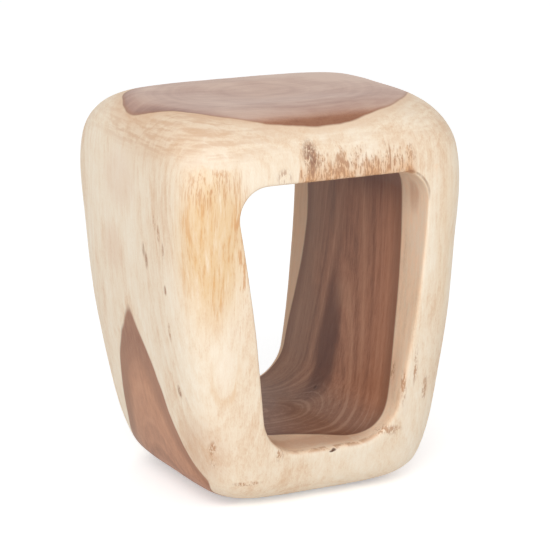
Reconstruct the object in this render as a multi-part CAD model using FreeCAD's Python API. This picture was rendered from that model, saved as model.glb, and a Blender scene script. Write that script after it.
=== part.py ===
import FreeCAD
import Part
import math
import os

# A stool carved from one length of log, with the grain standing upright.
# A window runs through the block from front to back, wider at its head than at its
# sill. The seat is a shallow dish with full shoulders, and four glides are nailed
# under the base. X runs to the right, Y to the back and Z up, with the floor at zero.

# Overall size, over the widest places
width = 380.0
depth = 340.0
height = 480.0

# Foot of the block, measured at the underside as if its lower edge were sharp
foot_width = 284.0
foot_depth = 280.0
foot_rounding = 40.0

# The foot stands off the middle of the seat, to the right and to the back, and the lean
# fades out below the seat
lean_right = 14.5
lean_back = 10.5
lean_drop = 90.0
lean_top = height - lean_drop

# Shoulders: the widest level, and the size of the rim where the seat dips inwards
shoulder_drop = 70.0
shoulder_height = height - shoulder_drop
rim_width = 278.0
rim_depth = 172.0
shoulder_fullness_share = 0.737

# How much of the widening from foot to shoulder is reached half way up
wall_gain_share = 0.79

# Outlines from above: how far their corners reach towards those of the box around them
foot_corner_share = 0.875
leg_corner_share = 0.903
shoulder_corner_share = 0.912
rim_corner_share = 0.85
dish_corner_share = 0.75
leg_level = 160.0

# Seat dish, down to a small flat floor
dish_depth = 5.0
dish_floor_share = 0.12

# Window: its sill over the floor, its head under the thick beam of the seat, and the
# distances of its corners from the middle of the stool
sill_height = 71.0
beam_thickness = 78.5
head_height = height - beam_thickness
sill_left = 73.0
sill_right = 92.0
head_left = 127.5
head_right = 127.5
left_bow = -3.5
right_bow = 8.0
sill_corner_radius = 54.0
head_corner_radius = 36.0
window_edge_chamfer = 2.5

# Glides: flat plastic feet, set in from the edge of the flat underside
glide_diameter = 24.0
glide_thickness = 4.0
glide_edge_chamfer = 1.2
glide_inset = 30.0

# Nails: one up through each glide into a blind hole, its head sunk in the glide
nail_head_diameter = 6.0
nail_head_thickness = 1.2
nail_head_depth = 1.0
nail_shank_diameter = 2.4
nail_length = 18.0
nail_point_length = 3.0
nail_clearance = 0.05
nail_head_clearance = 0.3

# One overrun serves every cut
overrun = 20.0

# Points on each outline, crowded towards its corners, and how many of them come before
# the point on the far right
outline_points = 24
points_before_right = 2
crowding_share = 0.1

# Outlines in each band of the block: foot rounding, wall, shoulder and dish
rounding_steps = 4
wall_steps = 4
shoulder_steps = 7
dish_steps = 3


# Shares turned into the powers of the curves that they describe
def gain_power(gain_share):
    return -math.log2(1 - gain_share)


def corner_power(corner_share):
    return -1 / math.log2(corner_share)


# A value that follows straight lines between the levels of a table
def between_levels(level, table):
    for (low, at_low), (high, at_high) in zip(table, table[1:]):
        if level <= high:
            return at_low + (at_high - at_low) * (level - low) / (high - low)
    return table[-1][1]


# Half of the width or depth of the block at a level between its underside and rim
def half_size(level, foot, widest, rim):
    if level < shoulder_height:
        up = (level - glide_thickness) / (shoulder_height - glide_thickness)
        wall = widest / 2 - (widest - foot) / 2 * (1 - up) ** gain_power(wall_gain_share)
        below_wall = max(0, 1 - (level - glide_thickness) / foot_rounding)
        return wall - foot_rounding * (1 - math.sqrt(1 - below_wall ** 2))
    power = corner_power(shoulder_fullness_share)
    up = (level - shoulder_height) / (height - shoulder_height)
    return rim / 2 + (widest - rim) / 2 * max(0, 1 - up ** power) ** (1 / power)


# Middle of the block at a level
def middle_at(level):
    lean = max(0, 1 - level / lean_top) ** 2
    return FreeCAD.Vector(lean_right * lean, lean_back * lean, level)


# A smooth closed outline, fuller in its corners as the power grows
def outline(middle, half_width, half_depth, power):
    points = []
    for step in range(outline_points):
        turn = 2 * math.pi * (step - points_before_right) / outline_points
        turn += crowding_share * math.sin(4 * turn)
        reach = (abs(math.cos(turn)) ** power + abs(math.sin(turn)) ** power) ** (-1 / power)
        across = half_width * reach * math.cos(turn)
        along = half_depth * reach * math.sin(turn)
        points.append(middle + FreeCAD.Vector(across, along, 0))
    curve = Part.BSplineCurve()
    curve.interpolate(Points=points, PeriodicFlag=True, Parameters=list(range(outline_points + 1)))
    return curve


# Levels of the outlines up to the rim, close together where the surface turns quickly
def outline_levels():
    levels = []
    for step in range(rounding_steps):
        turn = math.pi / 2 * step / rounding_steps
        levels.append(glide_thickness + foot_rounding * (1 - math.cos(turn)))
    wall_foot = glide_thickness + foot_rounding
    for step in range(wall_steps):
        levels.append(wall_foot + (shoulder_height - wall_foot) * step / wall_steps)
    power = corner_power(shoulder_fullness_share)
    for step in range(shoulder_steps + 1):
        up = math.sin(math.pi / 2 * step / shoulder_steps) ** (2 / power)
        levels.append(shoulder_height + (height - shoulder_height) * up)
    return levels


# Outlines from the underside up the wall, over the shoulder and down into the dish
def block_outlines():
    corner_table = [
        (0, corner_power(foot_corner_share)),
        (leg_level, corner_power(leg_corner_share)),
        (shoulder_height, corner_power(shoulder_corner_share)),
        (height, corner_power(rim_corner_share)),
    ]
    outlines = []
    for level in outline_levels():
        half_width = half_size(level, foot_width, width, rim_width)
        half_depth = half_size(level, foot_depth, depth, rim_depth)
        power = between_levels(level, corner_table)
        outlines.append(outline(middle_at(level), half_width, half_depth, power))
    for step in range(1, dish_steps + 1):
        inwards = step / dish_steps
        shrink = 1 - (1 - dish_floor_share) * inwards
        middle = middle_at(height - dish_depth * (1 - shrink ** 2) ** 2)
        power = corner_power(rim_corner_share + (dish_corner_share - rim_corner_share) * inwards)
        outlines.append(outline(middle, rim_width / 2 * shrink, rim_depth / 2 * shrink, power))
    return outlines


# One smooth surface through all the outlines, cut into bands at the given rows
def skin(outlines, band_rows):
    rows = [curve.getPoles() for curve in outlines]
    climb = [0]
    for row, next_row in zip(rows, rows[1:]):
        steps = [(end - start).Length for start, end in zip(row, next_row)]
        climb.append(climb[-1] + sum(steps) / len(steps))
    ribs = []
    for column in zip(*rows):
        rib = Part.BSplineCurve()
        rib.interpolate(Points=list(column), Parameters=climb)
        ribs.append(rib)
    around = outlines[0]
    surface = Part.BSplineSurface()
    surface.buildFromPolesMultsKnots(
        [rib.getPoles() for rib in ribs],
        around.getMultiplicities(),
        ribs[0].getMultiplicities(),
        around.getKnots(),
        ribs[0].getKnots(),
        True,
        False,
        around.Degree,
        ribs[0].Degree,
    )
    bands = []
    for low_row, high_row in zip(band_rows, band_rows[1:]):
        bands.append(surface.toShape(0, outline_points, climb[low_row], climb[high_row]))
    return bands


# The block before it is pierced
def carve_block():
    outlines = block_outlines()
    wall_row = rounding_steps
    shoulder_row = wall_row + wall_steps
    rim_row = shoulder_row + shoulder_steps
    dish_row = rim_row + dish_steps
    bands = skin(outlines, (0, wall_row, shoulder_row, rim_row, dish_row))
    underside = Part.Face(Part.Wire(outlines[0].toShape()))
    dish_floor = Part.Face(Part.Wire(outlines[-1].toShape()))
    shell = Part.Shell(bands + [underside, dish_floor])
    shell.sewShape()
    return Part.Solid(shell)


# Tells edges that run straight from front to back
def runs_front_to_back(edge):
    return round(abs(edge.tangentAt(edge.FirstParameter).y)) == 1


# Rounds the corners of the window that lie at its sill or head
def round_corners(tool, level, radius):
    corners = [edge for edge in tool.Edges if runs_front_to_back(edge)]
    at_level = [edge for edge in corners if math.isclose(edge.CenterOfMass.z, level)]
    return tool.makeFillet(radius, at_level)


# The window as a solid that reaches past the front and back of the block
def window_tool():
    front = -depth / 2 - overrun
    left_foot = FreeCAD.Vector(-sill_left, front, sill_height)
    right_foot = FreeCAD.Vector(sill_right, front, sill_height)
    left_head = FreeCAD.Vector(-head_left, front, head_height)
    right_head = FreeCAD.Vector(head_right, front, head_height)
    left_middle = (left_foot + left_head) / 2 - FreeCAD.Vector(left_bow, 0, 0)
    right_middle = (right_foot + right_head) / 2 + FreeCAD.Vector(right_bow, 0, 0)
    edges = [
        Part.LineSegment(right_head, left_head).toShape(),
        Part.Arc(left_head, left_middle, left_foot).toShape(),
        Part.LineSegment(left_foot, right_foot).toShape(),
        Part.Arc(right_foot, right_middle, right_head).toShape(),
    ]
    tool = Part.Face(Part.Wire(edges)).extrude(FreeCAD.Vector(0, -2 * front, 0))
    tool = round_corners(tool, sill_height, sill_corner_radius)
    return round_corners(tool, head_height, head_corner_radius)


# Edges of the window on the front and back of the block
def window_rims(block, tool):
    rims = []
    for edge in block.Edges:
        on_window = [tool.isInside(vertex.Point, nail_clearance, True) for vertex in edge.Vertexes]
        if all(on_window) and not runs_front_to_back(edge):
            rims.append(edge)
    return rims


# Middles of the four glides on the floor, named by their corner of the stool
def glide_places():
    middle = middle_at(glide_thickness)
    across = foot_width / 2 - foot_rounding - glide_inset
    along = foot_depth / 2 - foot_rounding - glide_inset
    places = {}
    for end, toward_back in (("front", -1), ("back", 1)):
        for side, toward_right in (("left", -1), ("right", 1)):
            x = middle.x + toward_right * across
            y = middle.y + toward_back * along
            places[end + "_" + side] = FreeCAD.Vector(x, y, 0)
    return places


# The carved block with its window, eased rims and nail holes
def make_body(places):
    tool = window_tool()
    block = carve_block().cut(tool)
    block = block.makeChamfer(window_edge_chamfer, window_rims(block, tool))
    radius = nail_shank_diameter / 2 + nail_clearance
    hole_top = nail_head_depth + nail_length + nail_clearance
    for place in places.values():
        block = block.cut(Part.makeCylinder(radius, hole_top, place))
    return block


# A round piece turned about an upright axis, from its half outline of radii and levels
def turn_piece(place, profile):
    points = [place + FreeCAD.Vector(radius, 0, level) for radius, level in profile]
    half_outline = Part.Face(Part.makePolygon(points + points[:1]))
    return half_outline.revolve(place, FreeCAD.Vector(0, 0, 1), 360)


# A disc with a chamfered lower edge, bored for the nail and its sunk head
def make_glide(place):
    radius = glide_diameter / 2
    shank_hole = nail_shank_diameter / 2 + nail_clearance
    head_hole = nail_head_diameter / 2 + nail_head_clearance
    head_top = nail_head_depth + nail_head_thickness
    return turn_piece(place, [
        (head_hole, 0),
        (radius - glide_edge_chamfer, 0),
        (radius, glide_edge_chamfer),
        (radius, glide_thickness),
        (shank_hole, glide_thickness),
        (shank_hole, head_top),
        (head_hole, head_top),
    ])


# A round nail, head down and point up, with its head seated in the glide
def make_nail(place):
    head_top = nail_head_depth + nail_head_thickness
    point_top = nail_head_depth + nail_length
    return turn_piece(place, [
        (0, nail_head_depth),
        (nail_head_diameter / 2, nail_head_depth),
        (nail_head_diameter / 2, head_top),
        (nail_shank_diameter / 2, head_top),
        (nail_shank_diameter / 2, point_top - nail_point_length),
        (0, point_top),
    ])


# Every piece by its name
def make_stool():
    places = glide_places()
    pieces = {"stool_body": make_body(places)}
    for corner, place in places.items():
        pieces["glide_" + corner] = make_glide(place)
        pieces["nail_" + corner] = make_nail(place)
    return pieces


os.makedirs("parts", exist_ok=True)
for name, shape in make_stool().items():
    shape.exportStep("parts/" + name + ".step")
    box = shape.optimalBoundingBox(False)
    size = [round(length, 1) for length in (box.XLength, box.YLength, box.ZLength)]
    print(name, round(shape.Volume), "mm3,", size)
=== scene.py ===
# %% [markdown]
# # A stool carved from one length of log
#
# The real stool is a single block of rain-tree wood. It was sawn from a log with the grain
# standing upright, pierced from front to back and carved to a soft, bulging form with a
# shallow seat. This lesson loads its exact CAD model as a fixed frame, carves a finely
# meshed copy of the block, and gives it wood whose heart, rings and stains run
# through the solid as they do in a real log.

# %% Load the frame
import math

import bmesh
import bpy
from mathutils import Matrix, Vector, noise
from mathutils.bvhtree import BVHTree


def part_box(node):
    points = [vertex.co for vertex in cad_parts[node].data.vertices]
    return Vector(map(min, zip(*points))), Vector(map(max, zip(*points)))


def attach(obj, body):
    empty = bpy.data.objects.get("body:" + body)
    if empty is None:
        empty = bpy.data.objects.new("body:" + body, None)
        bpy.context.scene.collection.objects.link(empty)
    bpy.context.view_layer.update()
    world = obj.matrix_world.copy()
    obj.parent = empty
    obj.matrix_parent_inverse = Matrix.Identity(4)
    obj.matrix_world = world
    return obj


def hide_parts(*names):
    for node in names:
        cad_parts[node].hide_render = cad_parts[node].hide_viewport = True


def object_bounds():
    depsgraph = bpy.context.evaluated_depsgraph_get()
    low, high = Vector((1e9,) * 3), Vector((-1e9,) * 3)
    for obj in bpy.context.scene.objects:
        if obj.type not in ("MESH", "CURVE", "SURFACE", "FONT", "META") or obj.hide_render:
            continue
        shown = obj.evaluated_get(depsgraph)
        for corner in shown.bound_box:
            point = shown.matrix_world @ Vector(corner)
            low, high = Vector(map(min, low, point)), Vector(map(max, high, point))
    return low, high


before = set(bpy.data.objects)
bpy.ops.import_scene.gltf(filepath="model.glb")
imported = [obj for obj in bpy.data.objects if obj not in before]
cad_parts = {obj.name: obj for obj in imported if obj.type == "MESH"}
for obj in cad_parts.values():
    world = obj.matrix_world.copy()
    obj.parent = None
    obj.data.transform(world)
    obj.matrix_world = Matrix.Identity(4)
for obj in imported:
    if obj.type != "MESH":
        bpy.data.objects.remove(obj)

cad_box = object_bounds()
mm = 0.001
print("nodes:", ", ".join(sorted(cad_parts)))

# %% [markdown]
# ## The block as something to carve against
#
# The CAD block is loose triangles, so a copy is merged first. Its four nail holes are
# closed, because the carved piece keeps a whole underside and the nails stand in the wood.
# The copy goes into a tree of faces, which answers where a straight line meets the wood. A
# Shrinkwrap modifier finds the surface too, but it slides points off a sharp rim, and a
# line lands exactly where it is aimed.

# %% Merge a copy of the block
merge_distance = 0.001 * mm


def merged_copy(node):
    copy = bmesh.new()
    copy.from_mesh(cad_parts[node].data)
    bmesh.ops.remove_doubles(copy, verts=copy.verts, dist=merge_distance)
    return copy


block = merged_copy("stool_body")
print("block:", len(block.verts), "points,", len(block.faces), "faces")

# %% Close its nail holes
hole_reach = 2 * mm
hole_margin = 1 * mm


# The walls of a hole are the faces that lie close round its nail
def hole_walls(block, nail):
    low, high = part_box(nail)
    middle = (Vector(low) + Vector(high)) / 2
    walls = []
    for face in block.faces:
        centre = face.calc_center_median()
        if (centre - middle).xy.length < hole_reach and centre.z < high[2] + hole_margin:
            walls.append(face)
    return walls


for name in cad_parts:
    if name.startswith("nail_"):
        bmesh.ops.delete(block, geom=hole_walls(block, name), context="FACES")
open_edges = [edge for edge in block.edges if edge.is_boundary]
lids = bmesh.ops.holes_fill(block, edges=open_edges)["faces"]
print("nail holes closed:", len(lids))

# %% A tree of the block's faces
wood_faces = BVHTree.FromBMesh(block)
block.free()


def reach(start, direction):
    return wood_faces.ray_cast(start, direction)[0]


window_middle = Vector((2, 0, 245)) * mm
right = Vector((1, 0, 0))
front = Vector((0, -1, 0))
back = Vector((0, 1, 0))
right_wall = reach(window_middle, right)
print("the window's right wall stands", round(right_wall.x / mm, 1), "mm from the middle")

# %% [markdown]
# ## The carved block
#
# A block with one hole through it is a ring. So the piece starts as a plain ring, spun from
# a circle, whose faces already flow round the window in even loops. Each circle of the ring
# stands for one upright slice through the middle of the window, and its points are laid
# along the outline that the block has in that slice: along the window's wall, over the
# eased rim, round the outside and back. A remeshed copy would be quicker to make, but its
# grid of faces crosses the rims at random and blurs them, and loops that follow the rims
# keep them crisp.

# %% Sizes of the ring
spin_steps = 100
section_points = 58
cuts = 3
slices = spin_steps * (cuts + 1)
loops = section_points * (cuts + 1)
wall_loops = 72
rim_offsets = [0.2 * mm, 1.2 * mm, 2.3 * mm]
outside_start = 3.6 * mm
outside_loops = loops - wall_loops - 2 * len(rim_offsets)
print("ring:", slices, "slices of", loops, "points, of which", outside_loops, "lie outside")

# %% Points round the outside of a slice
fan_rays = 60


# A fan of lines finds the outline from rim to rim, and even steps along it give the points
def round_outside(start, outward):
    def at(turn):
        return reach(start, outward * math.cos(turn) + back * math.sin(turn))

    turns = [math.pi * (step / fan_rays - 0.5) for step in range(fan_rays + 1)]
    fan = [at(turn) for turn in turns]
    travelled = [0]
    for point, following in zip(fan, fan[1:]):
        travelled.append(travelled[-1] + (following - point).length)
    points = []
    ray = 0
    for step in range(outside_loops):
        target = travelled[-1] * step / (outside_loops - 1)
        while ray < fan_rays - 1 and travelled[ray + 1] < target:
            ray += 1
        share = (target - travelled[ray]) / (travelled[ray + 1] - travelled[ray])
        points.append(at(turns[ray] + (turns[ray + 1] - turns[ray]) * share))
    return points


right_leg = round_outside(right_wall + right * outside_start, right)
print("the right leg reaches", round(max(point.x for point in right_leg) / mm), "mm to the right")

# %% [markdown]
# ## Rubbed rims
#
# Where the window meets the front and the back, sanding and use have rubbed the edge round.
# A Bevel modifier needs one clean edge, and the CAD rim has two, because it is chamfered.
# But each slice is flat, so its corner between wall and face can be drawn onto an arc that
# touches both.

# %% Ease a rim
rim_radius_head = 4.3 * mm
rim_radius_sill = 6.5 * mm
hard_rim_level = 330 * mm
soft_rim_level = 100 * mm


# Hands and feet wear the sill most, so its rims are rounder than those of the head
def rim_radius(level):
    softness = (hard_rim_level - level) / (hard_rim_level - soft_rim_level)
    softness = min(1, max(0, softness))
    return rim_radius_head + (rim_radius_sill - rim_radius_head) * softness


# Draws the points near a rim onto an arc that runs smoothly into the wall and the face
def ease(points, wall, outward, inward, radius):
    near = reach(wall + outward * outside_start, -inward)
    far = reach(wall + outward * (outside_start + radius), -inward)
    along_face = (far - near).normalized()
    corner = near - along_face * (near - wall).dot(outward) / along_face.dot(outward)
    half_angle = along_face.angle(inward) / 2
    length = radius / math.tan(half_angle)
    centre = corner + (along_face + inward).normalized() * radius / math.sin(half_angle)
    eased = []
    for point in points:
        from_corner = point - corner
        if from_corner.dot(inward) < length and from_corner.dot(along_face) < length:
            point = centre + (point - centre).normalized() * radius
        eased.append(point)
    return eased


print("rims are eased by", round(rim_radius(0) / mm, 1), "mm at the sill")

# %% [markdown]
# ## One slice
#
# A slice starts in the middle of the window's wall and runs forwards over the front rim,
# round the outside and in again over the back rim. Even steps all the way round would be
# simpler, but they would miss the rims, which need points of their own. So wall, rims and
# outside are laid out one after the other.

# %% One slice of the block
rim_margin = 1.0 * mm


def spread(start, end, count):
    return [start.lerp(end, step / (count - 1)) for step in range(count)]


def rim(wall, outward, side):
    return [reach(wall + outward * offset, side) for offset in rim_offsets]


# The whole slice, starting and ending in the middle of the window's wall
def slice_outline(turn):
    outward = Vector((math.cos(turn), 0, math.sin(turn)))
    wall = reach(window_middle, outward)
    front_rim = rim(wall, outward, front)
    back_rim = rim(wall, outward, back)
    wall_front = Vector((wall.x, front_rim[0].y + rim_margin, wall.z))
    wall_back = Vector((wall.x, back_rim[0].y - rim_margin, wall.z))
    along_wall = spread(wall_back, wall_front, wall_loops)
    half = wall_loops // 2
    outside = round_outside(wall + outward * outside_start, outward)
    points = along_wall[half:] + front_rim + outside + back_rim[::-1] + along_wall[:half]
    radius = rim_radius(wall.z)
    points = ease(points, wall, outward, back, radius)
    return ease(points, wall, outward, front, radius)


through_head = slice_outline(math.pi / 2)
print("the slice through the head has", len(through_head), "points")

# %% [markdown]
# ## From a plain ring to the block
#
# Spin carries a circle round an axis and joins the last copy to the first, so the ring has
# no seam. It could be spun with all its points at once. Here a coarse ring is spun, which is
# easy to look at and to count, and its faces are then cut finer. Last, each point moves to
# its own place on the outline of its slice.

# %% Spin the ring
ring_radius = 200 * mm
section_radius = 50 * mm

ring = bmesh.new()
bmesh.ops.create_circle(
    ring, segments=section_points, radius=section_radius, cap_ends=False,
    matrix=Matrix.Translation((ring_radius, 0, 0)))
bmesh.ops.spin(
    ring, geom=ring.verts[:] + ring.edges[:], cent=(0, 0, 0), axis=(0, 1, 0),
    angle=2 * math.pi, steps=spin_steps, use_merge=True, use_duplicate=False)
bmesh.ops.subdivide_edges(ring, edges=ring.edges, cuts=cuts, use_grid_fill=True)
print("plain ring:", len(ring.verts), "points,", len(ring.faces), "faces")

# %% Lay the ring on the block
outlines = {}
for point in ring.verts:
    round_window = math.atan2(point.co.z, point.co.x)
    step = round(round_window / (2 * math.pi) * slices) % slices
    if step not in outlines:
        outlines[step] = slice_outline(2 * math.pi * step / slices)
    from_core = math.hypot(point.co.x, point.co.z) - ring_radius
    round_section = math.atan2(-point.co.y, -from_core)
    loop = round(round_section / (2 * math.pi) * loops) % loops
    point.co = outlines[step][loop]
bmesh.ops.recalc_face_normals(ring, faces=ring.faces)
print("carved block:", len(outlines), "slices,", len(ring.faces), "faces")

# %% [markdown]
# ## Marks of the hand
#
# The block was shaped with a chainsaw and gouges and then sanded, so its faces are never
# quite even. Slow, shallow waves in the surface could be painted with bump, but bump
# doesn't bend an outline or a reflection. Each point is pressed a fraction of a millimetre
# into the wood instead, never outwards, so the stool keeps its size. The foot stays flat.

# %% Press shallow hollows into the surface
hollow_depth = 0.6 * mm
hollow_size = 70 * mm
ripple_depth = 0.35 * mm
ripple_size = 24 * mm
flat_foot = 6 * mm


def hollow(place):
    wide = 0.5 + 0.5 * noise.noise(place / hollow_size)
    narrow = 0.5 + 0.5 * noise.noise(place / ripple_size)
    return hollow_depth * wide + ripple_depth * narrow


ring.normal_update()
deepest = 0
for point in ring.verts:
    if point.co.z > cad_box[0].z + flat_foot:
        depth = hollow(point.co)
        point.co -= point.normal * depth
        deepest = max(deepest, depth)
print("the deepest hollow is", round(deepest / mm, 2), "mm")

# %% [markdown]
# ## The piece that stands for the block
#
# In Blender a mesh shows once an object carries it and a collection holds that object. The
# object stays at the origin and the shape lies in the mesh, as with the CAD parts. The piece
# rides on the one body of the stool and replaces the CAD block, which is hidden but goes on
# serving for collisions.

# %% The finished block replaces its CAD node
def finished_piece(mesh_work, name):
    mesh = bpy.data.meshes.new(name)
    mesh_work.to_mesh(mesh)
    mesh_work.free()
    mesh.shade_smooth()
    piece = bpy.data.objects.new(name, mesh)
    bpy.context.scene.collection.objects.link(piece)
    return piece


carved_block = finished_piece(ring, "carved_block")
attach(carved_block, "root")
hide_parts("stool_body")
print("carved block is", [round(side / mm) for side in carved_block.dimensions], "mm")

# %% [markdown]
# ## Writing materials as sums
#
# A wood material is mostly arithmetic: distances from the heart of the log, sums of
# noises, and limits. Nodes laid out one by one hide that. A small class wraps the output
# of a node and gives it the usual signs, so that a line of Python reads like the sum it
# stands for, and one more method adds any other node.

# %% A node's output that can be added and multiplied
class Field:
    def __init__(self, recipe, socket):
        self.recipe = recipe
        self.socket = socket

    def sum(self, operation, *others):
        kind = "ShaderNodeMath" if self.socket.type == "VALUE" else "ShaderNodeVectorMath"
        return self.recipe.node(kind, {"operation": operation}, dict(enumerate(others)))

    def __add__(self, other):
        return self.sum("ADD", self, other)

    def __sub__(self, other):
        return self.sum("SUBTRACT", self, other)

    def __rsub__(self, other):
        return self.sum("SUBTRACT", other, self)

    def __mul__(self, other):
        return self.sum("MULTIPLY", self, other)

    def __truediv__(self, other):
        return self.sum("DIVIDE", self, other)

    def at_least(self, other):
        return self.sum("MAXIMUM", self, other)

    def size(self):
        return self.sum("ABSOLUTE", self)

    def rising(self, low, high):
        """0 below low, 1 above high and a smooth climb between them."""
        return self.recipe.node(
            "ShaderNodeMapRange", {"interpolation_type": "SMOOTHSTEP"},
            {"Value": self, "From Min": low, "From Max": high})

    def falling(self, low, high):
        return 1 - self.rising(low, high)

    def within(self, start, full, fading, end):
        return self.rising(start, full) * self.falling(fading, end)

    def stained(self, share, shade):
        """This colour with a share, from 0 to 1, of another laid over it."""
        return self.recipe.mix(share, self, shade)

    __radd__ = __add__
    __rmul__ = __mul__


print("a field knows:", ", ".join(name for name in vars(Field) if not name.startswith("_")))


# %% A recipe that adds nodes to a material
class Recipe:
    def __init__(self, name, owner=None, surface="Principled BSDF"):
        self.owner = owner or bpy.data.materials.new(name)
        self.owner.use_nodes = True
        self.nodes = self.owner.node_tree.nodes
        self.links = self.owner.node_tree.links
        self.surface = self.nodes[surface]

    def fill(self, node, inputs):
        for name, value in inputs.items():
            if isinstance(value, Field):
                self.links.new(value.socket, node.inputs[name])
            else:
                node.inputs[name].default_value = value

    def set_stops(self, elements, stops):
        while len(elements) < len(stops):
            elements.new(1)
        for element, (position, shade) in zip(elements, stops):
            element.position = position
            element.color = shade

    def node(self, kind, settings={}, inputs={}, output=0):
        node = self.nodes.new(kind)
        for name, value in settings.items():
            if name == "stops":
                self.set_stops(node.color_ramp.elements, value)
            else:
                setattr(node, name, value)
        self.fill(node, inputs)
        return Field(self, node.outputs[output])

    # A Mix node has sockets for numbers, vectors and colours; 6, 7 and output 2 are for colours
    def mix(self, share, first, second):
        inputs = {0: share, 6: first, 7: second}
        return self.node("ShaderNodeMix", {"data_type": "RGBA"}, inputs, output=2)

    # Sets the surface's sockets; an underscore here stands for a space in a socket's name
    def finish(self, **inputs):
        self.fill(self.surface, {name.replace("_", " "): value for name, value in inputs.items()})
        return self.owner


print("a recipe knows:", ", ".join(name for name in vars(Recipe) if not name.startswith("_")))

# %% [markdown]
# ## Words for describing wood
#
# Wood needs the same few things again and again: how far a place is from another, noise
# stretched along the grain, a soft patch somewhere in the solid, and a blend of several
# layers. They could be drawn as node groups, but short methods read more easily.

# %% A recipe for wood
patch_core = 0.35


class WoodRecipe(Recipe):
    def split(self, vector):
        outputs = self.node("ShaderNodeSeparateXYZ", {}, {0: vector}).socket.node.outputs
        return [Field(self, output) for output in outputs]

    def joined(self, x, y, z):
        return self.node("ShaderNodeCombineXYZ", {}, {0: x, 1: y, 2: z})

    def length(self, vector):
        return self.node("ShaderNodeVectorMath", {"operation": "LENGTH"}, {0: vector}, "Value")

    def ramp(self, value, stops):
        return self.node("ShaderNodeValToRGB", {"stops": stops}, {"Fac": value})

    # Noise from 0 to 1, with grains of the given sizes along x, y and z
    def noise(self, place, sizes, detail=2, roughness=0.5, output=0):
        inputs = {"Vector": place / sizes, "Scale": 1, "Detail": detail, "Roughness": roughness}
        return self.node("ShaderNodeTexNoise", {}, inputs, output)

    # Noise that changes only with one value, in steps of the given size
    def noise_along(self, value, size, detail=2):
        inputs = {"W": value / size, "Scale": 1, "Detail": detail}
        return self.node("ShaderNodeTexNoise", {"noise_dimensions": "1D"}, inputs)

    # A sideways shift that changes from place to place
    def wander(self, place, sizes, most):
        shift = self.noise(place, sizes, detail=1, output=1)
        return (shift - (0.5, 0.5, 0.5)) * (2 * most, 2 * most, 0)

    # 1 at a place in the wood, falling to 0 at the given distances along x, y and z
    def patch(self, place, middle, reach):
        return self.length((place - middle) / reach).falling(patch_core, 1)

    def patches(self, place, spots):
        share = 0
        for middle, reach in spots:
            share = self.patch(place, middle, reach) + share
        return share

    # A shade that each layer of noise makes lighter or darker, by the amount after it
    def blend(self, shade, *layers):
        for layer, amount in layers:
            shade = (layer - 0.5) * amount + shade
        return shade

    def report(self, step):
        print(step + ":", len(self.nodes), "nodes so far")


timber = WoodRecipe("rain_tree_wood")
timber.report("a new material")

# %% [markdown]
# ## The log that the stool was cut from
#
# Grain that is wrapped round a carved block looks like printed paper. Here the log itself
# is described: every place in the block has a distance from the heart of the log, and
# rings, heartwood and fibres follow from that distance and from the height. Cut faces then
# show what a real cut shows: closed rings on the seat, arches on the walls of the window,
# and a tongue of heartwood where the left side cuts into the heart. All places are in
# millimetres: x runs to the right, y to the back and z up.

# %% Places in the log
coordinates = timber.node("ShaderNodeTexCoord", {}, {}, "Object")
place = timber.node(
    "ShaderNodeVectorMath", {"operation": "SCALE"}, {"Vector": coordinates, "Scale": 1 / mm})
x, y, z = timber.split(place)

# Logs aren't straight: the whole pattern sways slowly and wavers a little along the grain
sway = timber.wander(place, (160, 160, 420), most=5)
waver = timber.wander(place, (26, 26, 140), most=2)
narrowing = timber.joined(x * z.rising(300, 440) * 0.035, 0, 0)

# Low on each side the cut opens the heartwood in a tongue, and each leans its own way
on_left = x.falling(-165, -120)
on_right = x.rising(120, 165)
lean_right = on_left * z.rising(110, 230) * -1.6 + on_right * 2
lean_back = on_left * z.rising(40, 150) * -9 - on_right * z.falling(30, 240) * 18
in_log = place + sway + waver + narrowing + timber.joined(lean_right, lean_back, 0)
timber.report("places in the log")

# %% How far out from the heart
heart_width = 182.0
heart_depth = 150.0
endless = 1e6
heart_size = (heart_width, heart_depth, endless)
pith_back = 36.0

# 0 in the middle of the heartwood and 1 at its edge
outwards = timber.length(in_log / heart_size)

# The rings crowd round the pith, which lies behind the middle
to_pith = (1 - outwards).at_least(0)
from_pith = timber.length((in_log - timber.joined(0, to_pith * pith_back, 0)) / heart_size)
from_pith = from_pith * heart_depth
timber.report("distance from the heart")

# %% [markdown]
# ## The edge of the heartwood
#
# The border between brown and pale wood is the strongest line on the stool. In a real log
# it is no plain oval, because it follows old branches. Painted on the faces it would break
# at every rim. So the oval is pulled in or pushed out in a few regions of the solid, and
# every face that cuts through them shows the same bend.

# %% Where the heartwood is drawn in
# A flute runs up its front, low down, and its corners at the front foot, at the front of
# the seat and before the left tongue are drawn in. The amounts are millimetres
flute = x.within(-110, -35, -25, 110) * y.falling(-60, 10) * z.falling(75, 180)
front_foot = x.rising(-134, -112) * y.falling(-112, -60) * z.falling(22, 62)
front_tip = x.within(-75, -25, 50, 110) * y.falling(-110, -50) * z.rising(400, 440)
tongue_front = on_left * y.falling(-30, 20) * z.rising(35, 75)
drawn_in = flute * 78 + front_foot * 34 + front_tip * 4.6 + tongue_front * 3.2
timber.report("heartwood drawn in")

# %% [markdown]
# ## Where the border bulges
#
# In two places the heartwood reaches further out than an oval would: at the point of the
# left tongue and at the back on the right. Another oval for each would cross the first in a
# sharp corner, so the depth inside the heartwood is raised there by a few millimetres.

# %% Where it is fuller
# The left tongue has a sharp point, 1 mm fuller, and the back right is fuller all the way up
tongue_middle = 15
tongue_point = on_left * (y - tongue_middle).size().falling(0, 40) * z.rising(130, 190)
back_right = x.within(40, 90, 124, 140) * y.rising(30, 110) * (1 - y.rising(146, 160) * 0.8)
back_right = back_right * z.within(45, 70, 400, 430)
back_right = back_right * (12 + z.falling(120, 250) * 9 + z.rising(280, 400) * 12)

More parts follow.
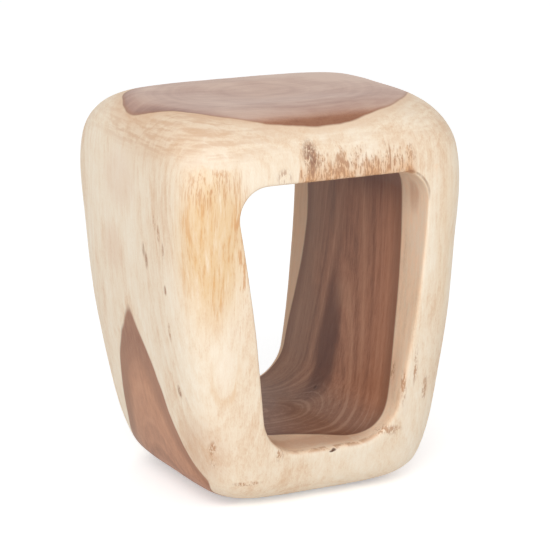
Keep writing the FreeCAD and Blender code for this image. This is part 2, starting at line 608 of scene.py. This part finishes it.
# How deep a place lies inside the heartwood, and the soft border between the two woods
heart_inside = (1 - outwards) * heart_depth - drawn_in + tongue_point + back_right
half_border = 1.6
crisper = 1 + on_left + on_right * 0.6
heart = (heart_inside * crisper).rising(-half_border, half_border)
timber.report("edge of the heartwood")

# %% [markdown]
# ## The walls of the window
#
# The window was cut with a chainsaw, and both woods look different on its walls, partly
# through painted light: warm light thrown back by the heartwood onto the sapwood, and shade
# at the window's head and on its sill. Those faces could get a material of their own, but
# with a hard border. Instead every place is asked how deep it lies behind the front and the
# back face, which close in towards the foot, and whether it lies between the legs.

# %% Which wood shows in the window
widest_level = 410
sole_level = 4
half_depth = 170
front_closing = 37
back_closing = 17
sill_level = 71
right_wall_at_sill = 92
right_wall_lean = 0.107
left_wall_at_sill = -73
left_wall_lean = 0.164

# The faces close in from the widest level to the sole, slowly at first and then faster
closing = ((widest_level - z) / (widest_level - sole_level)).at_least(0)
closing = closing * closing
behind_front = y + half_depth - closing * front_closing
before_back = half_depth - closing * back_closing - y

# The walls stand further apart the higher they are above the sill
beyond_right = x - right_wall_at_sill - (z - sill_level) * right_wall_lean
beyond_left = left_wall_at_sill - x - (z - sill_level) * left_wall_lean
between_legs = beyond_right.at_least(beyond_left).falling(10, 14)
window_levels = z.within(58, 66, 404, 410) * between_legs
in_window = window_levels * behind_front.rising(1, 3.5) * before_back.rising(1, 3.5)
deep_in_window = window_levels * behind_front.rising(35, 110) * before_back.rising(2, 5)
timber.report("walls of the window")

# %% [markdown]
# ## Rings, fibres and pores
#
# Looked at closely, wood is grain of many sizes: growth rings and broader bands of good and
# bad years, long fibres, streaks, slow clouds, mottle, sanding grit and open pores. A Wave
# texture gives rings at even steps, as on cheap laminate. Noise along the distance from
# the pith gives rings of uneven width, and noise stretched upright gives all the rest.

# %% Layers of grain
rings = timber.noise_along(from_pith, 7, detail=3)
bands = timber.noise_along(from_pith, 34, detail=1)
fibre = timber.noise(place, (2.0, 2.0, 80), detail=3, roughness=0.65)
thread = timber.noise(place, (1.8, 1.8, 34), detail=3, roughness=0.7)
streak = timber.noise(place, (7, 7, 150), detail=3, roughness=0.6)
cloud = timber.noise(place, (55, 55, 130), detail=3)
mottle = timber.noise(place, (9, 9, 20), detail=4, roughness=0.65)
grit = timber.noise(place, (1.3, 1.3, 3.5), detail=2, roughness=0.6)
pores = timber.noise(place, (1.1, 1.1, 16), detail=1).rising(0.60, 0.72)
timber.report("layers of grain")

# %% [markdown]
# ## Colours as they are read off a screen
#
# Paint programs write a colour as three numbers from 0 to 255, spaced as the eye sees them.
# Nodes reckon in even steps of light, and the middle of that scale is only about a fifth of
# it. Numbers for the nodes could be worked out by hand, but with a small helper each finish
# names the colour that is seen on the wood.

# %% From a screen's scale to light
def colour(red, green, blue):
    def linear(value):
        value = value / 255
        return value / 12.92 if value <= 0.04045 else ((value + 0.055) / 1.055) ** 2.4
    return (linear(red), linear(green), linear(blue), 1)


print("half way up a screen's scale is", round(colour(128, 128, 128)[0], 2), "of its light")

# %% [markdown]
# ## Heartwood
#
# The heart of the log is brown, because the tree stores tannin in it. Its layers of grain
# are blended to one shade, and a ramp turns the shade into three browns. One mix of two
# colours would be simpler, but the middle brown is redder than such a mix.

# %% Brown of the heart
heart_shade = timber.blend(
    0.5, (rings, 0.6), (bands, 0.5), (streak, 0.55), (fibre, 0.55), (mottle, 0.3), (grit, 0.2))
heart_colour = timber.ramp(heart_shade - pores * 0.10 + in_window * 0.06, [
    (0.15, colour(126, 80, 56)),
    (0.5, colour(172, 119, 89)),
    (0.9, colour(200, 152, 120)),
])

# It turns greyer towards the back
greyer = (y + (cloud - 0.5) * 120).rising(10, 110)
heart_colour = heart_colour.stained(greyer * 0.5, colour(132, 105, 86))
timber.report("heartwood")

# %% [markdown]
# ## Heartwood inside the window
#
# The window was cut close to the pith, so its walls show the darkest and reddest heartwood.
# Painted shade adds to the dark at the head of the window and greys the top of the sill.
# The ramp could be given more stops, but that would change the wood everywhere. So stains
# and painted shade are laid over it, each in its own region.

# %% Heartwood in the window
# It is redder near the front, and darkest where the wall comes nearest to the pith, low
# down and at its head, where the dark is partly painted shade under the top of the window
redder = in_window * y.falling(-95, -10)
heart_colour = heart_colour.stained(redder * 0.42, colour(170, 113, 82))
dark_low = timber.patch(in_log + waver * (5, 5, 5), (100, 38, 138), (70, 38, 130))
# Partly dark heartwood and partly painted shade under the head of the window
dark_head_and_shade = timber.patch(in_log, (125, -10, 400), (70, 150, 110)) * z.rising(320, 400)
darkest_and_shade = (dark_low * 0.78).at_least(dark_head_and_shade * 0.8) * in_window
heart_colour = heart_colour.stained(darkest_and_shade, colour(88, 37, 9))

# Painted shade greys the front of the sill's top, and some rings stay light there
shaded_sill_top = in_window * z.falling(74, 108) * (1 - y.rising(10, 130) * 0.85)
heart_colour = heart_colour.stained(shaded_sill_top * 0.34, colour(84, 80, 74))
light_rings = shaded_sill_top * (rings + (streak - 0.5) * 0.4).rising(0.5, 0.66)
heart_colour = heart_colour.stained(light_rings * 0.3, colour(196, 162, 138))
timber.report("heartwood in the window")

# %% [markdown]
# ## The tongue, and a line round the heartwood
#
# Low on the left the side of the block just cuts into the heart, which shows there as a
# paler tongue. All round the heartwood runs a thin darker line. It could be drawn as a curve
# on each face, but the depth inside the heartwood is known at every place, and a limit on
# that depth gives a line that follows each bend.

# %% The tongue and the dark line at the edge
# The tongue low on the left is paler inside, and the line along its edge is at its widest
tongue = x.falling(-150, -118) * z.falling(250, 300)
tongue_inside = tongue * z.falling(150, 190)
heart_colour = heart_colour.stained(tongue_inside * 0.38, colour(206, 152, 116))
edge_line = (heart_inside * (1 - in_window * 0.55) - tongue * 5).falling(1, 9)
edge_strength = 0.3 + tongue * 0.14 + in_window * 0.3
heart_colour = heart_colour.stained(edge_line * edge_strength, colour(118, 76, 54))
timber.report("tongue and edge")

# %% [markdown]
# ## The seat
#
# The dished seat is the same heartwood, sanded finest and polished by sitting, and its rings
# are almost gone. A second, paler colour for it is laid over the heartwood near the top; its
# paleness is painted sheen, the white surroundings mirrored at a low angle. The dish could be
# picked out by the direction of its face, but height alone does it, and gives no hard border
# on the rounded rim.

# %% Colours of the seat
leftmost = x.falling(-150, -70)
seat = (z + leftmost * 12).rising(468, 476) * heart_inside.rising(-2, 5)
sanding = timber.noise(place, (70, 9, 60), detail=4, roughness=0.6)
seat_shade = timber.blend(0.5, (rings, 0.18), (bands, 0.35), (cloud, 0.9), (sanding, 0.5))

# Painted sheen makes the right and the back lighter, and the left keeps a darker border
painted_sheen = x.rising(20, 150) * y.rising(-60, 60) * 0.42 + y.rising(20, 120) * 0.15
darker = leftmost * heart_inside.falling(0, 22) * 0.45
seat_colour_and_sheen = timber.ramp(seat_shade + painted_sheen - darker, [
    (0.0, colour(150, 114, 101)),
    (0.35, colour(182, 146, 130)),
    (0.8, colour(211, 182, 164)),
])

# Where the front of the seat turns down, a strip keeps the deeper brown of the walls
front_strip = timber.patch(place, (5, -148, 464), (125, 34, 22))
heart_colour = heart_colour.stained(front_strip * 0.6, colour(134, 86, 62))
# The seat's colour, with its painted sheen, goes over the heartwood near the top
heart_colour = heart_colour.stained(seat * 0.95, seat_colour_and_sheen)
timber.report("seat")

# %% [markdown]
# ## Sapwood
#
# The young outer wood of the log carried its sap and stayed pale. It is blended as the
# heartwood is, with weaker rings and stronger clouds. The stains that follow are laid over
# it one by one, as they came to the real stool, and each can be left out or moved without
# touching the others.

# %% Pale sapwood
sap_rings = timber.noise_along(from_pith + (mottle - 0.5) * 4, 5, detail=2)
sap_shade = timber.blend(
    0.53, (cloud, 1.1), (streak, 0.5), (fibre, 0.5), (sap_rings, 0.3), (mottle, 0.6), (grit, 0.45))
sap_colour = timber.ramp(sap_shade - pores * 0.1, [
    (0.15, colour(223, 191, 159)),
    (0.5, colour(237, 218, 193)),
    (0.85, colour(243, 230, 210)),
])
timber.report("sapwood")

# %% [markdown]
# ## Smears on the shoulders
#
# The shoulders slope across the rings, which show there as soft tan smears that keep their
# level, most of all on the left and round the heartwood. Stronger rings in the ramp would
# stripe the legs as well. So a noise that is wide across and thin in height makes the
# smears, and height and a patch say where they lie.

# %% Tan smears on the shoulders
smear = timber.noise(in_log, (46, 46, 5), detail=4, roughness=0.62)
contour = timber.noise_along(from_pith + (cloud - 0.5) * 40 + (mottle - 0.5) * 8, 9, detail=3)
left_shoulder = timber.patch(place, (-160, -60, 462), (150, 160, 62))
smeared = z.rising(418, 446) * (0.2 + left_shoulder * 0.48)
smeared = smeared * (smear + contour * 0.5).rising(0.62, 0.9)
sap_colour = sap_colour.stained(smeared, colour(205, 164, 130))
sap_colour = sap_colour.stained(left_shoulder * 0.38, colour(216, 180, 146))
halo = heart_inside.rising(-17, -1) * z.rising(446, 462)
sap_colour = sap_colour.stained(halo * 0.5, colour(216, 178, 144))

# Two rosy clouds lie under the left shoulder
upper_cloud = timber.patch(place, (-186, 12, 388), (60, 60, 48))
lower_cloud = timber.patch(place, (-184, 40, 300), (50, 40, 40))
sap_colour = sap_colour.stained(upper_cloud.at_least(lower_cloud) * 0.32, colour(224, 190, 164))
timber.report("shoulders")

# %% [markdown]
# ## Painted warm light on the sapwood in the window
#
# On the walls of the window the sapwood is warmer than outside, most of all deep inside. The
# warmth is painted light: the warm glow that the brown heartwood throws back onto the pale
# walls. A warm lamp in the window could fake it, but would tint the heartwood too, and the
# colour would go with the lamp. It is laid over the sapwood instead, by how deep a place lies.

# %% Painted warm light on the sapwood in the window
painted_warm_light = timber.blend(0.28, (mottle, 1.0), (streak, 0.6))
# Painted warm light from the heartwood, on the sapwood of the window's walls
sap_colour = sap_colour.stained(in_window * painted_warm_light, colour(250, 196, 148))
deep_painted_warm_light = 0.2 + y.rising(-60, 120) * 0.2
sap_colour = sap_colour.stained(deep_in_window * deep_painted_warm_light, colour(205, 156, 118))
timber.report("sapwood in the window")

# %% [markdown]
# ## Browned sapwood and painted shade
#
# The pale wood is browned in a few places: on the front of the sill's top, at the lower and
# the upper right of the window, and on the left foot. On the sill's top, deep in the window,
# the browning is painted shade. A brush could paint this on a picture, and this lesson uses
# none. Each place is one line of a list, with its middle, its reach and its strength.

# %% Where it is browned, and where shade is painted
browned_and_shaded = [
    # Painted shade on the front of the sill's top
    ((20, -108, 76), (120, 30, 26), 0.54),
    ((110, -128, 140), (16, 18, 62), 0.25),
    ((127, -136, 366), (12, 16, 30), 0.45),
    ((-140, -112, 84), (44, 46, 62), 0.26),
]
browning_and_shade = 0
for middle, size, strength in browned_and_shaded:
    browning_and_shade = (timber.patch(place, middle, size) * strength).at_least(browning_and_shade)
sap_colour = sap_colour.stained(browning_and_shade * mottle.rising(0.15, 0.5), colour(190, 142, 110))
timber.report("handling")

# %% [markdown]
# ## Golden stains down the legs
#
# Sap ran down inside the front of the log and dried to golden streaks. They are the
# liveliest thing on the front, and they follow the fibres. A painted mask would follow
# them exactly, but this lesson uses no pictures. So a patch in the solid says where the gold
# lies, and noises stretched along the grain break it up: a wash first, then stronger gold,
# then thin brown threads.

# %% Golden wash and threads
stain = timber.noise(place, (9, 9, 75), detail=4, roughness=0.7)
below_beam = (z + (stain - 0.5) * 30).falling(423, 431)
golden = timber.patch(place, (-152, -165, 340), (56, 64, 130)) * below_beam
window_side = timber.patch(place, (-120, -168, 320), (17, 30, 130)) * below_beam
on_right_leg = timber.patch(place, (156, -158, 310), (20, 40, 150))
on_its_back = timber.patch(place, (150, 165, 250), (34, 40, 150))
golden = golden.at_least(on_right_leg * 0.18).at_least(on_its_back * 0.7)
sap_colour = sap_colour.stained(golden * stain.rising(0.2, 0.5) * 0.76, colour(222, 185, 134))
sap_colour = sap_colour.stained(golden * stain.rising(0.5, 0.64) * 0.55, colour(220, 168, 106))

threads = thread + (stain - 0.5) * 0.9
threaded = (golden * 0.42).at_least(window_side * 0.7)
sap_colour = sap_colour.stained(threaded * threads.rising(0.5, 0.66), colour(202, 144, 94))

# The stains begin in a row of brown streaks under the beam
row_top = golden * z.rising(372, 412)
row_threads = threads.rising(0.46, 0.6) * 0.7
sap_colour = sap_colour.stained(row_top * row_threads, colour(186, 124, 80))
timber.report("golden stains")

# %% [markdown]
# ## A pale lens low on the left leg
#
# Where the carving just touches a ring, the ring shows as a closed lens. The real one lies
# low on the left leg, pale inside and with a faint tan border. Cutting it from the rings
# themselves would need the log to bulge just there, so it is a stretched ball in the solid,
# whose edge the clouds and the mottle make uneven.

# %% Lens and border
lens_place = place - (-130, -155, 190) + sway * (2, 2, 3) + waver * (3, 3, 6)
lens_edge = timber.blend(timber.length(lens_place / (17, 40, 40)), (mottle, 0.5), (cloud, 0.5))
sap_colour = sap_colour.stained(lens_edge.falling(0.3, 1.0) * 0.3, colour(246, 232, 214))
lens_border = lens_edge.within(0.85, 1.0, 1.05, 1.35) * z.falling(165, 215)
lens_border = lens_border * streak.rising(0.3, 0.6) * 0.5
sap_colour = sap_colour.stained(lens_border, colour(222, 182, 138))
timber.report("lens")

# %% [markdown]
# ## Brown flecks over the window
#
# Over the window the saw cut through a layer of stained fibres, and sanding left short
# upright flecks of it, with a ragged top, a sharp left end and one dense clump. Small
# pieces of mesh would be far too heavy for this. A fine noise is cut off at a threshold,
# and a coarser noise shifts the threshold, so the flecks gather in clumps.

# %% Where the flecks lie
fleck = timber.noise(place, (1.9, 1.9, 9), detail=3, roughness=0.7)
clump = timber.noise(place, (11, 11, 26), detail=3, roughness=0.6)
ragged = timber.noise(place, (9, 9, 300), detail=3, roughness=0.7)
ragged_top = timber.blend(432, (ragged, 84))
from_left = x - (z - 401) * 0.12
on_front = y.falling(-158, -148)
fleck_area = from_left.rising(-48, -45) * x.falling(100, 114) * z.rising(397, 401)
fleck_area = fleck_area * (ragged_top - z).rising(-4, 10) * on_front
dense_clump = timber.patch(place + waver * (3, 3, 3), (-28, -168, 431), (14, 30, 27))
dense_clump = dense_clump * clump.rising(0.25, 0.5)
small_clump = timber.patch(place, (-64, -170, 411), (12, 30, 13))
timber.report("places of the flecks")

# %% The flecks themselves
wash = clump.rising(0.3, 0.62) * 0.55 + z.falling(402, 430) * 0.5
sap_colour = sap_colour.stained(fleck_area * wash, colour(218, 172, 130))

# One fine crack stands among them
crack = (x - 74).size().falling(0.5, 1.4) * z.within(404, 410, 430, 440) * on_front
flecks = (fleck + (clump - 0.5) * 0.7 + dense_clump * 0.2).rising(0.45, 0.58)
flecks = flecks * (fleck_area * 0.85).at_least(dense_clump).at_least(small_clump * 0.8)
sap_colour = sap_colour.stained(flecks.at_least(crack * 0.9) * 0.77, colour(164, 116, 86))
dark_flecks = dense_clump * fleck.rising(0.40, 0.58) * 0.6
sap_colour = sap_colour.stained(dark_flecks, colour(112, 78, 66))
timber.report("flecks")

# %% [markdown]
# ## Scuffs
#
# Smaller groups of the same flecks lie along the foot, the sill and the edges of the legs.
# A second noise could strew them, but then they would lie anywhere. A list of places puts
# the scuffs where the stool has them, and a few more on the sides that are seldom seen.

# %% Scuffed flecks
scuffs = [
    ((88, -146, 81), (25, 24, 9)),
    ((-57, -144, 72), (7, 18, 13)),
    ((121, -154, 160), (4, 14, 34)),
    ((138, -147, 128), (5, 20, 22)),
    ((108, -124, 145), (9, 9, 20)),
    ((107, -150, 134), (4, 8, 30)),
    ((-138, -129, 86), (5, 12, 16)),
    ((-189, -84, 354), (6, 4.5, 13)),
    ((-189, -94, 342), (6, 5, 15)),
    ((-188, -103, 322), (6, 4, 16)),
    ((-134, -124, 67), (4, 10, 12)),
    ((-96, -131, 38), (26, 10, 4)),
    ((-166, -110, 134), (8, 4.5, 22)),
    ((-179, -100, 226), (7, 3.5, 18)),
    ((60, 158, 88), (26, 12, 10)),
    ((-70, 165, 410), (30, 14, 12)),
    ((168, 60, 250), (14, 12, 40)),
    ((40, 168, 425), (46, 14, 20)),
    ((150, 140, 90), (16, 20, 14)),
]
scuffed = timber.patches(place, scuffs) * (fleck + (clump - 0.5) * 0.4).rising(0.44, 0.56)
sap_colour = sap_colour.stained(scuffed * 0.7, colour(172, 118, 78))
timber.report(str(len(scuffs)) + " scuffs")

# %% [markdown]
# ## Worn rims
#
# The rims of the window are worn to a broken brown line. Wear is often found from the
# curvature of the surface, but that darkens every rim alike. Here the line lies at a set
# depth behind the front face, and noise breaks it up.

# %% Worn rims of the window
# Along the sill and the lower right, just behind the front face
sill_rim = timber.patch(place, (20, -134, 72), (96, 16, 12))
right_rim = timber.patch(place, (104, -150, 120), (14, 18, 50))
rim_line = sill_rim.at_least(right_rim * 0.4) * behind_front.within(0, 3, 7, 11)
rim_line = rim_line * (clump + (streak - 0.5) * 0.6).rising(0.4, 0.56) * 0.6
sap_colour = sap_colour.stained(rim_line, colour(178, 126, 86))

# The round of the window's upper right corner has a finer one, an arc about that corner
from_corner = timber.length((place - (92.6, 0, 368.3)) / (1, endless, 1))
corner_line = from_corner.within(34, 35.4, 36.4, 38) * x.rising(90, 104) * z.rising(360, 378)
corner_line = corner_line * behind_front.falling(2, 4) * streak.rising(0.25, 0.6) * 0.6
sap_colour = sap_colour.stained(corner_line, colour(136, 94, 66))
timber.report("worn rims")

# %% [markdown]
# ## Small dark marks
#
# A few short dark lines stand on the sides, one dark knot sits on the front of the sill and
# one pit in the floor of the window. A modelled pit would need much finer faces than the
# rest of the block. At this size colour and bump look the same, so each is a small patch
# in the solid, and the marks are broken up by the threads of the grain.

# %% Marks, knot and pit
marks = [
    ((-187, -49, 315), (7, 4.5, 12)),
    ((-187, -55, 303), (7, 5.5, 14)),
    ((-184, -101, 277), (6, 4, 8)),
    ((-166, -98, 152), (8, 5, 12)),
    ((186, 20, 330), (6, 4, 14)),
    ((-120, 160, 300), (3, 6, 13)),
]
knots = [
    ((16.5, -142, 67), (4.5, 8, 2.6)),
    ((13, -142, 65.5), (4, 8, 1.6)),
    ((86, 36, 88), (5, 4, 3.6)),
]
marked = timber.patches(place, marks) * thread.rising(0.36, 0.52)
knotted = timber.patches(place + waver * (0.6, 0.6, 0.6), knots)
timber.report(str(len(marks)) + " marks and " + str(len(knots)) + " spots of knot and pit")

# %% [markdown]
# ## The finished wood
#
# Heartwood and sapwood meet along the soft border worked out above, and the marks go on
# top. The stool looks sanded and waxed, not varnished, so the shine is weak and even, a
# little stronger on the seat. A clear coat would give it a plastic gloss. The fibres are
# felt as well as seen, so they drive a faint bump, and knot and pit sink in.

# %% Colour, shine and bump of the wood
bump_depth = 0.4 * mm
bump_strength = 0.3
sapwood_roughness = 0.54
heart_polish = 0.05
seat_polish = 0.07
wood_shine = 0.3

wood_colour = sap_colour.stained(heart, heart_colour)
wood_colour = wood_colour.stained(marked * 0.8, colour(150, 98, 64))
wood_colour = wood_colour.stained(knotted * 0.9, colour(84, 48, 28))
grain_height = fibre - pores * 0.5 - knotted * 3
grain_bump = timber.node(
    "ShaderNodeBump", {}, {"Strength": bump_strength, "Distance": bump_depth, "Height": grain_height})
wood_roughness = sapwood_roughness - heart * heart_polish - seat * seat_polish
rain_tree_wood = timber.finish(
    Base_Color=wood_colour, Roughness=wood_roughness, Normal=grain_bump,
    Specular_IOR_Level=wood_shine)
carved_block.data.materials.append(rain_tree_wood)
timber.report("finished wood")

# %% [markdown]
# ## Glides
#
# The four flat feet are moulded plastic, which keeps the end grain off a damp floor. Their
# CAD shape is right, so they could be left as they are, but plain grey parts look unfinished
# from below. They get a finish only: black with the faint grain of a spark-eroded mould, and
# grey scuffs where they rub the floor.

# %% Moulded plastic
def finish_nodes(start, material):
    finished = [node for name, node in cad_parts.items() if name.startswith(start)]
    for node in finished:
        node.material_slots[0].material = material
    print(material.name, "on", len(finished), "nodes")


black = colour(34, 34, 35)
scuffed_grey = colour(86, 84, 81)
mould_grains_per_metre = 2500
mould_grain_depth = 0.05 * mm
scuffs_per_metre = 350
plastic_roughness = 0.55

plastic = Recipe("black_plastic")
coordinates = plastic.node("ShaderNodeTexCoord", {}, {}, "Object")
mould_grain = plastic.node(
    "ShaderNodeTexNoise", {}, {"Vector": coordinates, "Scale": mould_grains_per_metre, "Detail": 2})
mould_bump = plastic.node(
    "ShaderNodeBump", {}, {"Strength": 0.4, "Distance": mould_grain_depth, "Height": mould_grain})
rubbing = plastic.node(
    "ShaderNodeTexNoise", {}, {"Vector": coordinates, "Scale": scuffs_per_metre, "Detail": 4})
worn = rubbing.rising(0.5, 0.72)
finish_nodes("glide_", plastic.finish(
    Base_Color=plastic.mix(worn * 0.6, black, scuffed_grey),
    Roughness=plastic_roughness + worn * 0.25, Normal=mould_bump))

# %% [markdown]
# ## Nails
#
# Each glide is held by a nail of drawn steel wire, whose zinc skin is mottled. One plain
# grey metal would look like chrome. A noise mixes a dull and a bright zinc instead, and the
# same noise makes the bright places a little rougher.

# %% Steel wire
dull_zinc = colour(150, 152, 154)
bright_zinc = colour(196, 197, 198)
zinc_spots_per_metre = 900
steel_roughness = 0.3

steel = Recipe("wire_steel")
coordinates = steel.node("ShaderNodeTexCoord", {}, {}, "Object")
skin = steel.node(
    "ShaderNodeTexNoise", {}, {"Vector": coordinates, "Scale": zinc_spots_per_metre, "Detail": 4})
finish_nodes("nail_", steel.finish(
    Base_Color=steel.mix(skin.rising(0.4, 0.65), dull_zinc, bright_zinc),
    Metallic=1.0, Roughness=steel_roughness + skin * 0.25))

# %% [markdown]
# ## Camera
#
# The camera stands in front of the stool, a little to its left and above the seat. A Track
# To constraint could aim it, but then the stool would sit in the middle of the frame. Its
# place and turns were found by matching the outline and the known sizes, so they are
# written out. The lens is long, which keeps the legs' lines nearly parallel.

# %% A long lens at the stool's left
camera_azimuth = math.radians(-27.217)
camera_distance = 3.001
camera_height = 1.0082
camera_yaw = math.radians(27.404)
camera_pitch = math.radians(14.147)
focal_length = 166.11
sensor_width = 36

lens = bpy.data.cameras.new("camera")
lens.sensor_width = sensor_width
lens.lens = focal_length
camera = bpy.data.objects.new("camera", lens)
bpy.context.scene.collection.objects.link(camera)
camera.location = (
    math.sin(camera_azimuth) * camera_distance,
    -math.cos(camera_azimuth) * camera_distance,
    camera_height)
camera.rotation_euler = (math.pi / 2 - camera_pitch, 0, -camera_yaw)
bpy.context.scene.camera = camera
print("the camera sees", round(math.degrees(lens.angle), 1), "degrees")

# %% [markdown]
# ## White surroundings
#
# A product photograph has a white sweep all round, which lights the stool from every side.
# At full strength a white world would wash out the pale sapwood. Light Path tells which
# kind of ray is asking: the world is white where the camera or a reflection sees it, and
# dimmer as a lamp.

# %% A world that is white to look at
sky_strength = 0.62
white = (1, 1, 1, 1)


# 1 for rays that show a background to the camera or in a reflection, 0 for rays that light
def looked_at(recipe):
    share = 0
    for ray in ("Is Camera Ray", "Is Glossy Ray", "Is Transmission Ray"):
        share = recipe.node("ShaderNodeLightPath", {}, {}, ray).at_least(share)
    return share


sky = Recipe("sky", bpy.data.worlds.new("sky"), "Background")
bpy.context.scene.world = sky.owner
sky.finish(Color=white, Strength=looked_at(sky) * (1 - sky_strength) + sky_strength)
bpy.context.scene.view_settings.view_transform = "Standard"
print("the world lights the stool at", sky_strength)

# %% [markdown]
# ## One large soft lamp
#
# The light on the real stool comes from in front, from the left and above, with soft
# shadows. A sun lamp or a small lamp would draw hard ones. A square lamp two metres wide,
# about three metres off, wraps round the shoulders. World and lamp together light the front
# at a plain level, so that its colours come out as they are written.

# %% The lamp
lamp_power = 50
lamp_size = 2.0
lamp_place = Vector((-1.42, -2.27, 1.88))
lamp_aim = Vector((0, 0, 0.25))

softbox = bpy.data.lights.new("softbox", "AREA")
softbox.energy = lamp_power
softbox.size = lamp_size
lamp = bpy.data.objects.new("softbox", softbox)
bpy.context.scene.collection.objects.link(lamp)
lamp.location = lamp_place
lamp.rotation_mode = "QUATERNION"
lamp.rotation_quaternion = (lamp_aim - lamp_place).to_track_quat("-Z", "Y")
print("the lamp is", round((lamp_aim - lamp_place).length, 2), "m from the stool")

# %% [markdown]
# ## Floor
#
# The stool stands on a sweep of white paper, which is a plain grid here. Lit like the
# stool it would come out grey, and a brighter lamp would burn out the wood. So the paper
# glows a little, but only for rays that look at it, from the camera or by a reflection: it
# looks white, keeps the soft shadow and doesn't light the wood.

# %% White paper
floor_half = 6
paper_white = (0.9, 0.9, 0.9, 1)
paper_roughness = 0.9
paper_glow = 0.42
black_glow = (0, 0, 0, 1)

floor_mesh = bmesh.new()
bmesh.ops.create_grid(floor_mesh, x_segments=1, y_segments=1, size=floor_half)
floor = finished_piece(floor_mesh, "floor")
paper = Recipe("white_paper")
floor.data.materials.append(paper.finish(
    Base_Color=paper_white, Roughness=paper_roughness,
    Emission_Color=paper.mix(looked_at(paper), black_glow, white), Emission_Strength=paper_glow))
print("floor is", 2 * floor_half, "m wide")

# %% [markdown]
# ## The size stays true
#
# Carving only takes wood away, so the finished model has to lie inside the CAD model's box.
